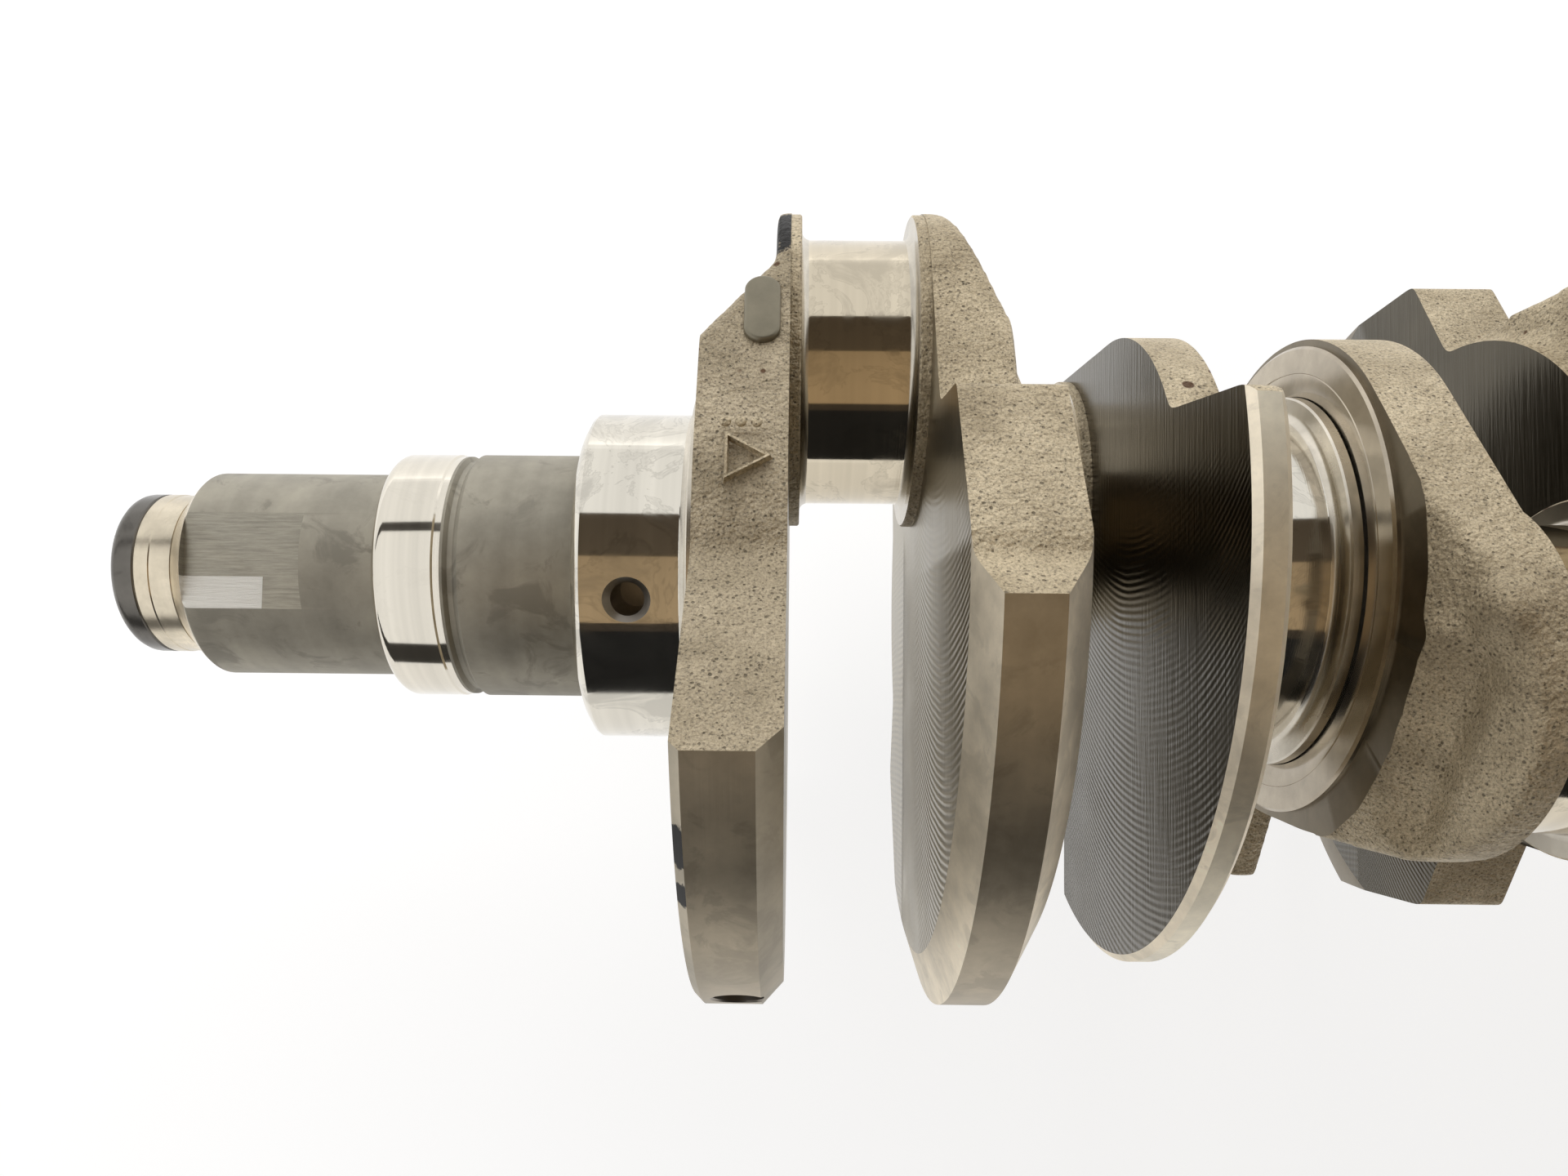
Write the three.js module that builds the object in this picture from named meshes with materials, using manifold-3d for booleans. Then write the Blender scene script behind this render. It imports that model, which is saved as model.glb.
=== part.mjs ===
// Forged crankshaft of a six-cylinder vee engine: four main journals, six separate crankpins
// and nine webs between a stepped nose and a flywheel flange.
// Millimetres. +X runs along the main axis from the nose to the flange, +Y points from the main
// axis to the first crankpin, and the origin is on the main axis at the middle of main journal 1.
// Angles are turned about +X, starting at +Y.
import * as THREE from 'three';
import { mergeVertices } from 'three/addons/utils/BufferGeometryUtils.js';
import Module from 'manifold-3d';

const wasm = await Module();
wasm.setup();

// Driving dimensions of the shaft
const mainRadius = 30;
const pinRadius = 24;
const crankThrow = 39;
const mainPitch = 105.5;
const mainSpan = 23.5;          // face of one web to the face of the next, across a main journal
const mainLand = 16.5;          // ground width of a main journal
const pinCollarRadius = 28.5;
const hubRadius = 44;           // disc that every web has around the main axis
const bossRadius = 28.75;       // end of a web around a crankpin
const rimRadius = 77.5;         // turned rim of a full counterweight
const shortRimRadius = 70;      // turned rim of the webs beside the inner main journals
const rimShoulder = 8.5;        // how far the rim's two wide chamfers drop towards the axis
const smallRimRadius = 65;      // rounded rim of the webs beside the middle crankpins
const thrustRadius = 43;
const turnSegments = 32;
const rimSegments = 48;

// Nose, as stations along X
const noseEnd = -94.5;
const tipRadius = 14.75;
const tipInner = -83.25;
const landRadius = 18.75;
const landInner = -45.25;
const sealRadius = 22.5;
const sealInner = -33;
const shoulderFace = -9.5;
const noseBoltRadius = 6;
const noseBoltDepth = 34;

// Flywheel end
const sealCollarRadius = 42;
const sealCollarWidth = 13;
const flangeRadius = 40;
const flangeWidth = 9.5;
const flangeBoltCircle = 32;    // radius of the circle of threaded holes
const flangeBoltRadius = 4.5;
const flangeBoltCount = 8;
const pilotBore = 15;
const pilotDepth = 14;
const bushWall = 4;
const dowelRadius = 4;
const dowelStand = 6;

const radians = THREE.MathUtils.degToRad;

const finishes = {
  ground: { color: 0xb9b1a4, roughness: 0.22, metalness: 1 },
  turned: { color: 0x9b958a, roughness: 0.45, metalness: 1 },
  forged: { color: 0x9a8f7c, roughness: 0.75, metalness: 0.8 },
  blackened: { color: 0x5b5853, roughness: 0.4, metalness: 1 },
  bronze: { color: 0x9a7440, roughness: 0.4, metalness: 1 },
  steelPin: { color: 0xc4c4c2, roughness: 0.3, metalness: 1 },
};

// --- solids -------------------------------------------------------------------------------

function toSolid(geometry) {
  const bare = geometry.index ? geometry.toNonIndexed() : geometry.clone();
  bare.deleteAttribute('normal');
  bare.deleteAttribute('uv');
  const merged = mergeVertices(bare, 1e-4);
  const index = merged.index.array;
  const kept = [];
  for (let i = 0; i < index.length; i += 3) {
    const [a, b, c] = [index[i], index[i + 1], index[i + 2]];
    if (a !== b && b !== c && c !== a) kept.push(a, b, c);
  }
  return new wasm.Manifold(new wasm.Mesh({
    numProp: 3,
    vertProperties: new Float32Array(merged.attributes.position.array),
    triVerts: new Uint32Array(kept),
  }));
}

function toGeometry(solid) {
  const mesh = solid.getMesh();
  const geometry = new THREE.BufferGeometry();
  geometry.setAttribute('position', new THREE.BufferAttribute(mesh.vertProperties, 3));
  geometry.setIndex(new THREE.BufferAttribute(mesh.triVerts, 1));
  const flat = geometry.toNonIndexed();
  flat.computeVertexNormals();
  return flat;
}

// A body turned about X. The profile is a list of [radius, station] that rises along X.
function turned(profile, segments = turnSegments) {
  const points = profile.map(([radius, station]) => new THREE.Vector2(radius, station));
  return toSolid(new THREE.LatheGeometry(points, segments).rotateZ(-Math.PI / 2));
}

// A drilled hole or pin: a round bar from one station to another, along a radial direction.
function radialBar(radius, station, angle, from, to) {
  const bar = new THREE.CylinderGeometry(radius, radius, to - from, 12);
  bar.translate(0, (from + to) / 2, 0).rotateX(angle).translate(station, 0, 0);
  return toSolid(bar);
}

function axialBar(radius, from, to, y = 0, z = 0) {
  const bar = new THREE.CylinderGeometry(radius, radius, to - from, 16).rotateZ(-Math.PI / 2);
  return toSolid(bar.translate((from + to) / 2, y, z));
}

// A plate cut from an outline drawn in the plane across the shaft, from one station to another.
const acrossShaft = new THREE.Matrix4().makeBasis(
  new THREE.Vector3(0, 1, 0), new THREE.Vector3(0, 0, 1), new THREE.Vector3(1, 0, 0));

function plate(shape, from, to, angle, curveSegments = 8) {
  const geometry = new THREE.ExtrudeGeometry(shape, { depth: to - from, bevelEnabled: false, curveSegments });
  return toSolid(geometry.applyMatrix4(acrossShaft).translate(from, 0, 0).rotateX(angle));
}

// A block whose outline is drawn along the shaft, as [station, height], and runs right across it.
function crossBlock(outline, angle, halfWidth = 60) {
  const shape = new THREE.Shape(outline.map(([x, y]) => new THREE.Vector2(x, y)));
  const geometry = new THREE.ExtrudeGeometry(shape, { depth: 2 * halfWidth, bevelEnabled: false });
  return toSolid(geometry.translate(0, 0, -halfWidth).rotateX(angle));
}

// --- webs ---------------------------------------------------------------------------------

// Outline of the arm: the hub and the pin's boss, joined by their common tangents.
function armShape(hub, boss) {
  const tangent = Math.acos((hub - boss) / crankThrow);
  const shape = new THREE.Shape();
  shape.absarc(crankThrow, 0, boss, -tangent, tangent);
  shape.absarc(0, 0, hub, tangent, 2 * Math.PI - tangent);
  return shape;
}

// Outline of a counterweight about its own middle line, before its rim is turned to size.
// The flank is a list of [angle from the middle line in degrees, radius], from the rim inwards.
function weightShape(radius, halfAngle, flank) {
  const blank = radius + 4;
  const corner = [halfAngle, radius];
  const rim = [halfAngle - 8, 30, 0].map((degrees) => [degrees, blank / Math.cos(radians(15))]);
  const side = [...rim.reverse(), corner, ...flank];
  const outline = [...side.map(([a, r]) => [-a, r]).reverse(), ...side.slice(1)];
  return new THREE.Shape(outline.map(([degrees, r]) => {
    const a = radians(degrees);
    return new THREE.Vector2(r * Math.cos(a), r * Math.sin(a));
  }));
}

// The turned envelope of a counterweight, with a wide chamfer down to each face.
function rimEnvelope(from, to, radius, leftRun, rightRun) {
  const shoulder = radius - rimShoulder;
  return turned([
    [0, from], [leftRun > 2 ? shoulder : radius - leftRun, from], [radius, from + leftRun],
    [radius, to - rightRun], [rightRun > 2 ? shoulder : radius - rightRun, to], [0, to],
  ], rimSegments);
}

// The slope on the side of an arm that faces away from its pin. The line is a list of
// [station, distance from the main axis] that starts on the outer face and climbs to the lip.
function armSlope(line, angle) {
  const outer = line[0];
  const lip = line[line.length - 1];
  const outside = outer[0] + 2 * Math.sign(outer[0] - lip[0]);
  const top = crankThrow + bossRadius + 10;
  const outline = [...line, [lip[0], top], [outside, top], [outside, outer[1] - 1]];
  return crossBlock(outer[0] < lip[0] ? outline : outline.reverse(), angle);
}

// Flanks of the five kinds of counterweight, as [degrees from the middle line, radius]
const wideFlank = [[73, 60], [90, 42]];
const lobedFlank = [[54, 69], [66, 63.3], [75, 59.5], [82, 55], [88, 50.5], [93, 42]];
const fullFlank = [[58, 72], [72, 66], [81, 62], [86, 52], [93, 42]];
const shortFlank = [[65, 65.5], [71, 57], [77, 50], [90, 48.5], [100, 43]];
const smallFlank = [[46, 61], [50, 43]];

// A web: the hub, an arm to each of its pins, and a counterweight.
function web({ span, arms, slopes = [], weight }) {
  let body = turned([[0, span[0]], [hubRadius, span[0]], [hubRadius, span[1]], [0, span[1]]]);
  for (const { pin, from = span[0], to = span[1] } of arms) {
    body = body.add(plate(armShape(hubRadius, bossRadius), from, to, radians(pin), 10));
  }
  for (const { pin, line } of slopes) {
    body = body.subtract(armSlope(line, radians(pin)));
  }
  const { middle, half, radius, flank, leftRun, rightRun, from = span[0], to = span[1] } = weight;
  const lump = plate(weightShape(radius, half, flank), from, to, radians(middle));
  return body.add(lump.intersect(rimEnvelope(from, to, radius, leftRun, rightRun)));
}

// --- journals -----------------------------------------------------------------------------

// A ground bearing surface between two collars, with a fillet at each end.
function journalProfile(radius, collar, length, land) {
  const fillet = (length - land) / 2;
  const rim = 1.75;
  return [
    [0, 0], [collar, 0], [collar, rim], [radius + 1.75, rim], [radius, fillet],
    [radius, length - fillet], [radius + 1.75, length - rim], [collar, length - rim],
    [collar, length], [0, length],
  ];
}

function drilled(solid, radius, station, angle, surface) {
  return solid.subtract(radialBar(radius, station, angle, surface - 9, surface + 2));
}

// --- assembly -----------------------------------------------------------------------------

const crankshaft = new THREE.Group();

function addPiece(name, solid, finish, position = [0, 0, 0], parent = crankshaft) {
  const mesh = new THREE.Mesh(toGeometry(solid), new THREE.MeshStandardMaterial(finishes[finish]));
  mesh.name = name;
  mesh.position.set(...position);
  parent.add(mesh);
}

// Stations of the webs. A bay is one main journal to the next.
const mainCentres = [0, 1, 2, 3].map((i) => i * mainPitch);
const half = mainSpan / 2;
const bays = [
  { pins: [0, -60], webs: [14.5, 15.5, 8.5], gaps: [23.5, 20] },
  { pins: [120, 60], webs: [12.75, 15.5, 12.75], gaps: [20.5, 20.5] },
  { pins: [-120, -180], webs: [8.5, 15.5, 14.5], gaps: [20, 23.5] },
].map((bay, i) => {
  let at = mainCentres[i] + half;
  const faces = [];
  for (let k = 0; k < 3; k += 1) {
    faces.push([at, at + bay.webs[k]]);
    at += bay.webs[k] + (bay.gaps[k] ?? 0);
  }
  return { pins: bay.pins, faces };
});

// Nose: tip, land with a milled flat, polished seal ring, plain land
addPiece('nose_tip', turned([
  [noseBoltRadius, noseEnd], [tipRadius - 0.5, noseEnd], [tipRadius, noseEnd + 2],
  [tipRadius, tipInner], [noseBoltRadius, tipInner], [noseBoltRadius, noseEnd],
]), 'blackened');

const flatDepth = 2;
const flatLength = 21;
const flatCentre = -70;
const flatBox = new THREE.BoxGeometry(flatLength, 10, 2 * landRadius);
flatBox.translate(flatCentre, landRadius - flatDepth + 5, 0).rotateX(radians(90));
addPiece('nose_land', turned([
  [0, noseEnd + noseBoltDepth], [noseBoltRadius, noseEnd + noseBoltDepth - 3],
  [noseBoltRadius, tipInner], [tipRadius, tipInner], [landRadius, tipInner + 4],
  [landRadius, landInner], [0, landInner],
]).subtract(toSolid(flatBox)), 'turned');

addPiece('seal_ring', turned([
  [0, landInner], [landRadius + 1.5, landInner], [sealRadius, landInner + 2.5],
  [sealRadius, sealInner], [0, sealInner],
]), 'ground');

addPiece('nose_shoulder', turned([
  [0, sealInner], [sealRadius - 0.75, sealInner], [sealRadius - 0.75, sealInner + 2.5],
  [sealRadius, sealInner + 3], [sealRadius, shoulderFace], [0, shoulderFace],
]), 'turned');

// Main journals. The first has a chamfered free end towards the nose.
const fillet = (mainSpan - mainLand) / 2;
const firstMain = turned([
  [0, shoulderFace], [mainRadius - 2.25, shoulderFace], [mainRadius, -mainLand / 2],
  [mainRadius, mainLand / 2], [mainRadius - 0.75, mainLand / 2 + 1], [mainRadius + 2, half - 1.25],
  [mainRadius + 4, half - 1], [mainRadius + 4, half], [0, half],
]);
addPiece('main_journal_1', drilled(firstMain, 3, 0, radians(105), mainRadius), 'ground');
for (const [i, angle] of [[1, -135], [2, 15], [3, 165]]) {
  const body = turned(journalProfile(mainRadius, mainRadius + 4, mainSpan, mainLand));
  const holed = drilled(body, 3, half, radians(angle), mainRadius);
  addPiece(`main_journal_${i + 1}`, holed, 'ground', [mainCentres[i] - half, 0, 0]);
}

// Crankpins, each in a group turned to its own phase
bays.forEach((bay, i) => {
  bay.pins.forEach((phase, k) => {
    const [from, to] = [bay.faces[k][1], bay.faces[k + 1][0]];
    const throwGroup = new THREE.Group();
    throwGroup.rotation.x = radians(phase);
    crankshaft.add(throwGroup);
    const body = turned(journalProfile(pinRadius, pinCollarRadius, to - from, to - from - 8));
    const holed = drilled(body, 2.5, (to - from) / 2, radians(-60), pinRadius);
    addPiece(`crankpin_${2 * i + k + 1}`, holed, 'ground', [from, crankThrow, 0], throwGroup);
  });
});

// Webs
const [bay1, bay2, bay3] = bays;
const [faceA, faceB, faceC] = bay1.faces;
const [faceD, faceE, faceF] = bay2.faces;
const [faceG, faceH, faceI] = bay3.faces;

// Lines of the slopes, measured from the face that the arm has away from its pin
const slopeUp = (face, towards, line) => line.map(([x, y]) => [face + towards * x, y]);
const steepLine = [[0, 36.5], [7.5, 44], [12, 51]];
const longLine = [[0, 37], [4.25, 50], [9.5, 65]];
const hubLine = [[0, 50], [7.75, 66]];

// The machined pads on the flanks of the first web
const padRadius = 3;
const padHalfRun = 4;
const padHeight = 31;           // from the plane of the pin's axis to the face of the pad
const padSink = 7;
function withPads(solid) {
  const outline = new THREE.Shape();
  outline.absarc(0, padHalfRun, padRadius, 0, Math.PI);
  outline.absarc(0, -padHalfRun, padRadius, Math.PI, 2 * Math.PI);
  let body = solid;
  for (const foot of [-padHeight, padHeight - padSink]) {
    const pad = new THREE.ExtrudeGeometry(outline, { depth: padSink, bevelEnabled: false, curveSegments: 8 });
    pad.translate(faceA[0] + 10, crankThrow + 1, foot);
    body = body.add(toSolid(pad));
  }
  return body;
}

// Balance hole, drilled into the rim of an end web
const balanceRadius = 4.25;
const balanceInset = 7.25;      // from the face of the web beside the journal
const balanceDepth = 16;
const balanceHole = (station, angle) =>
  radialBar(balanceRadius, station, radians(angle), rimRadius - balanceDepth, rimRadius + 3);

const firstWeb = withPads(web({
  span: faceA, arms: [{ pin: 0 }], slopes: [{ pin: 0, line: slopeUp(faceA[0], 1, steepLine) }],
  weight: { middle: 180, half: 66, radius: rimRadius, flank: wideFlank, leftRun: 1.75, rightRun: 3.5 },
}));
addPiece('web_1', firstWeb.subtract(balanceHole(faceA[0] + balanceInset, 159)), 'forged');

const armInset = 2.5;           // how far an arm stops short of the next pin's face
const rimInset = 3;             // how far a short rim stops behind its web's journal face
addPiece('web_2', web({
  span: faceB,
  arms: [{ pin: 0, to: faceB[1] - armInset }, { pin: -60, from: faceB[0] + armInset }],
  slopes: [
    { pin: 0, line: slopeUp(faceB[1] - armInset, -1, longLine) },
    { pin: -60, line: slopeUp(faceB[0] + armInset, 1, longLine) },
  ],
  weight: { middle: 150, half: 50, radius: rimRadius, flank: lobedFlank, leftRun: 2.75, rightRun: 5 },
}), 'forged');

addPiece('web_3', web({
  span: faceC, arms: [{ pin: -60 }],
  weight: {
    middle: 140, half: 60, radius: shortRimRadius, flank: shortFlank, leftRun: 1, rightRun: 1.5,
    to: faceC[1] - rimInset,
  },
}), 'forged');

const thrustStep = 1;
addPiece('thrust_collar', turned([
  [0, faceD[0]], [thrustRadius, faceD[0]], [thrustRadius, faceD[0] + thrustStep], [0, faceD[0] + thrustStep],
]), 'ground');

const insideD = [faceD[0] + thrustStep, faceD[1]];
const lobeInset = 4.25;         // the small counterweights are thinner than their webs
addPiece('web_4', web({
  span: insideD, arms: [{ pin: 120 }], slopes: [{ pin: 120, line: slopeUp(insideD[0], 1, hubLine) }],
  weight: {
    middle: -110, half: 42, radius: smallRimRadius, flank: smallFlank, leftRun: 1.5, rightRun: 1.5,
    to: insideD[1] - lobeInset,
  },
}), 'forged');

addPiece('web_5', web({
  span: faceE,
  arms: [{ pin: 120, to: faceE[1] - armInset }, { pin: 60, from: faceE[0] + armInset }],
  slopes: [
    { pin: 120, line: slopeUp(faceE[1] - armInset, -1, longLine) },
    { pin: 60, line: slopeUp(faceE[0] + armInset, 1, longLine) },
  ],
  weight: { middle: -90, half: 50, radius: rimRadius, flank: fullFlank, leftRun: 2.75, rightRun: 5 },
}), 'forged');

addPiece('web_6', web({
  span: faceF, arms: [{ pin: 60 }], slopes: [{ pin: 60, line: slopeUp(faceF[1], -1, hubLine) }],
  weight: {
    middle: -70, half: 42, radius: smallRimRadius, flank: smallFlank, leftRun: 1.5, rightRun: 1.5,
    from: faceF[0] + lobeInset,
  },
}), 'forged');

addPiece('web_7', web({
  span: faceG, arms: [{ pin: -120 }],
  weight: {
    middle: 40, half: 60, radius: shortRimRadius, flank: shortFlank, leftRun: 1.5, rightRun: 1,
    from: faceG[0] + rimInset,
  },
}), 'forged');

addPiece('web_8', web({
  span: faceH,
  arms: [{ pin: -120, to: faceH[1] - armInset }, { pin: -180, from: faceH[0] + armInset }],
  slopes: [
    { pin: -120, line: slopeUp(faceH[1] - armInset, -1, longLine) },
    { pin: -180, line: slopeUp(faceH[0] + armInset, 1, longLine) },
  ],
  weight: { middle: 30, half: 50, radius: rimRadius, flank: lobedFlank, leftRun: 5, rightRun: 2.75 },
}), 'forged');

const lastWeb = web({
  span: faceI, arms: [{ pin: -180 }], slopes: [{ pin: -180, line: slopeUp(faceI[1], -1, steepLine) }],
  weight: { middle: 0, half: 66, radius: rimRadius, flank: wideFlank, leftRun: 3.5, rightRun: 1.75 },
});
addPiece('web_9', lastWeb.subtract(balanceHole(faceI[1] - balanceInset, 21)), 'forged');

// Flywheel end: seal collar, drilled flange, pilot bush and dowel
const collarFace = mainCentres[3] + half;
const flangeFace = collarFace + sealCollarWidth;
const rearEnd = flangeFace + flangeWidth;
addPiece('rear_seal_collar', turned([
  [0, collarFace], [sealCollarRadius - 1, collarFace], [sealCollarRadius, collarFace + 1],
  [sealCollarRadius, flangeFace - 1], [sealCollarRadius - 1, flangeFace], [0, flangeFace],
]).subtract(axialBar(pilotBore, rearEnd - pilotDepth, flangeFace + 1)), 'ground');

let flange = turned([
  [0, flangeFace], [flangeRadius, flangeFace], [flangeRadius, rearEnd - 1],
  [flangeRadius - 1, rearEnd], [0, rearEnd],
]).subtract(axialBar(pilotBore, flangeFace - 1, rearEnd + 1));
for (let i = 0; i < flangeBoltCount; i += 1) {
  const angle = 2 * Math.PI * i / flangeBoltCount;
  const [y, z] = [flangeBoltCircle * Math.cos(angle), flangeBoltCircle * Math.sin(angle)];
  flange = flange.subtract(axialBar(flangeBoltRadius, flangeFace + 1, rearEnd + 1, y, z));
}
const dowelAngle = Math.PI / flangeBoltCount;
const [dowelY, dowelZ] = [flangeBoltCircle * Math.cos(dowelAngle), flangeBoltCircle * Math.sin(dowelAngle)];
const dowelFoot = flangeFace + 2;
flange = flange.subtract(axialBar(dowelRadius + 0.05, dowelFoot, rearEnd + 1, dowelY, dowelZ));
addPiece('flywheel_flange', flange, 'turned');

addPiece('flywheel_dowel', axialBar(dowelRadius, dowelFoot, rearEnd + dowelStand, dowelY, dowelZ), 'steelPin');

const bushOuter = pilotBore - 0.3;
const bushFoot = rearEnd - pilotDepth;
addPiece('pilot_bush', turned([
  [bushOuter - bushWall, bushFoot], [bushOuter, bushFoot], [bushOuter, rearEnd - 2],
  [bushOuter - bushWall, rearEnd - 2], [bushOuter - bushWall, bushFoot],
]), 'bronze');

export default crankshaft;
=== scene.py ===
import math
import bmesh
import bpy
from mathutils import Matrix, Vector


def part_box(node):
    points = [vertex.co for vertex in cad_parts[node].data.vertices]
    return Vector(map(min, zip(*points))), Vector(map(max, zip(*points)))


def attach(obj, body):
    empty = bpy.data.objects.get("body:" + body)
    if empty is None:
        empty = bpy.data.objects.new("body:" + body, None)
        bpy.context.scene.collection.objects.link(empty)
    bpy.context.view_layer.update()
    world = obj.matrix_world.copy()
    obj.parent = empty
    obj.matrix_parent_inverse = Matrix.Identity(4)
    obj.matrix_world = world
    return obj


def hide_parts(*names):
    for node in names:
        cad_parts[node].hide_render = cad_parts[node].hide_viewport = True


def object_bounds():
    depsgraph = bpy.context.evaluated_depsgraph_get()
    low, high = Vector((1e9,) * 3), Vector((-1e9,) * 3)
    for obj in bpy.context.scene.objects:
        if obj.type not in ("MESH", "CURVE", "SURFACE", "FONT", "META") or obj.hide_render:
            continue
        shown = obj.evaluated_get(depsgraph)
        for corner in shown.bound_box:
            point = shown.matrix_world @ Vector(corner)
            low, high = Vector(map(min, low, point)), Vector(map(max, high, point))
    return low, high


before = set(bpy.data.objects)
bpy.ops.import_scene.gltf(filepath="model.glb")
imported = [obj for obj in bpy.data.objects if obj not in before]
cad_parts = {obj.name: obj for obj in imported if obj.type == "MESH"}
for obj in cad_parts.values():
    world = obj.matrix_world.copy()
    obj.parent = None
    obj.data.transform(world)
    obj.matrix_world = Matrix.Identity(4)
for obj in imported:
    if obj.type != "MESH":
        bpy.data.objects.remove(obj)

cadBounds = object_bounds()
mm = 0.001
xAxis = Vector((1, 0, 0))
turnSteps = 160                     # steps of a full turn on the machined pieces
pinNames = ["crankpin_%d" % number for number in range(1, 7)]
mainNames = ["main_journal_%d" % number for number in range(1, 5)]
pinPhases = [0, -60, 120, 60, -120, -180]


def station(node, side=0):
    # where a CAD piece begins (0) or ends (1) along the shaft, in mm
    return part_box(node)[side].x / mm


shaft = {
    "mainRadius": 30.0,
    "pinRadius": 24.0,
    "throw": 39.0,
    "hubRadius": 44.0,
    "bossRadius": 28.3,
    "armHubRadius": 38.0,
}

print("frame loaded:", len(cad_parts), "CAD pieces")


def newMaterial(name, color, roughness, metallic=1.0):
    material = bpy.data.materials.new(name)
    material.use_nodes = True
    material.diffuse_color = (*color, 1)
    shader = material.node_tree.nodes["Principled BSDF"]
    shader.inputs["Base Color"].default_value = (*color, 1)
    shader.inputs["Roughness"].default_value = roughness
    shader.inputs["Metallic"].default_value = metallic
    return material, material.node_tree, shader


def addNode(tree, kind, **settings):
    node = tree.nodes.new(kind)
    for key, value in settings.items():
        setattr(node, key, value)
    return node


def mathNode(tree, operation, first, second=None, clamp=False):
    node = addNode(tree, "ShaderNodeMath", operation=operation, use_clamp=clamp)
    for socket, value in zip(node.inputs, (first, second)):
        if hasattr(value, "links"):
            tree.links.new(value, socket)
        elif value is not None:
            socket.default_value = value
    return node.outputs[0]


def plus(tree, first, second):
    return mathNode(tree, "ADD", first, second)


def minus(tree, first, second, clamp=False):
    return mathNode(tree, "SUBTRACT", first, second, clamp)


def times(tree, first, second, clamp=False):
    return mathNode(tree, "MULTIPLY", first, second, clamp)


def darker(color, share):
    return tuple(channel * share for channel in color)


def rampNode(tree, source, stops):
    node = addNode(tree, "ShaderNodeValToRGB")
    tree.links.new(source, node.inputs["Fac"])
    elements = node.color_ramp.elements
    while len(elements) < len(stops):
        elements.new(0.5)
    for element, (place, value) in zip(elements, stops):
        element.position = place
        element.color = (*value, 1) if isinstance(value, tuple) else (value, value, value, 1)
    return node.outputs["Color"]


def mixColor(tree, factor, first, second, blend="MIX"):
    node = addNode(tree, "ShaderNodeMix", data_type="RGBA", blend_type=blend)
    factorSocket, firstSocket, secondSocket = node.inputs["Factor"], node.inputs[6], node.inputs[7]
    for socket, value in ((factorSocket, factor), (firstSocket, first), (secondSocket, second)):
        if hasattr(value, "links"):
            tree.links.new(value, socket)
        elif isinstance(value, tuple):
            socket.default_value = (*value, 1)
        else:
            socket.default_value = value
    return node.outputs[2]


def feedSockets(tree, node, **values):
    # a space in an input's name is an underscore here
    for label, value in values.items():
        socket = node.inputs[label.replace("_", " ")]
        if hasattr(value, "links"):
            tree.links.new(value, socket)
        else:
            socket.default_value = value


def newGroup(name, inputs, outputs):
    group = bpy.data.node_groups.new(name, "ShaderNodeTree")
    for label, value in inputs.items():
        kind = "NodeSocketVector" if isinstance(value, tuple) else "NodeSocketFloat"
        group.interface.new_socket(label, in_out="INPUT", socket_type=kind).default_value = value
    for label in outputs:
        group.interface.new_socket(label, in_out="OUTPUT", socket_type="NodeSocketFloat")
    return group, group.nodes.new("NodeGroupInput"), group.nodes.new("NodeGroupOutput")


def useGroup(tree, group, **values):
    node = addNode(tree, "ShaderNodeGroup", node_tree=group)
    feedSockets(tree, node, **values)
    return node


def noiseNode(tree, vector, scale, detail=4.0, roughness=0.55, distortion=0.0):
    node = addNode(tree, "ShaderNodeTexNoise")
    feedSockets(tree, node, Vector=vector, Scale=scale, Detail=detail, Roughness=roughness,
                Distortion=distortion)
    return node.outputs["Fac"]


def objectPlace(tree):
    return addNode(tree, "ShaderNodeTexCoord").outputs["Object"]


def stretched(tree, place, scale):
    node = addNode(tree, "ShaderNodeVectorMath", operation="MULTIPLY")
    tree.links.new(place, node.inputs[0])
    node.inputs[1].default_value = scale
    return node.outputs[0]


def buildGrindLines():
    # fine lines round an axis that runs along X: bands that change along X only
    group, entry, leave = newGroup("Grind lines", {"Density": 4000.0}, ["Height", "Streak"])
    place = objectPlace(group)
    drawn = stretched(group, place, (1, 0.02, 0.02))
    fine = noiseNode(group, drawn, entry.outputs["Density"], 3.0, 0.7)
    broad = noiseNode(group, drawn, times(group, entry.outputs["Density"], 0.12), 2.0)
    feedSockets(group, leave, Height=fine, Streak=broad)
    return group


def buildStains():
    # dried oil and handling marks: soft-edged islands with a darker outline
    group, entry, leave = newGroup("Stains", {"Scale": 90.0, "Cover": 0.55}, ["Mask", "Outline"])
    field = noiseNode(group, objectPlace(group), entry.outputs["Scale"], 5.0, 0.62, 0.9)
    inside = minus(group, field, entry.outputs["Cover"])
    mask = times(group, inside, 12.0, clamp=True)
    distance = times(group, mathNode(group, "ABSOLUTE", inside), 60.0, clamp=True)
    feedSockets(group, leave, Mask=mask, Outline=minus(group, 1.0, distance))
    return group


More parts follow.
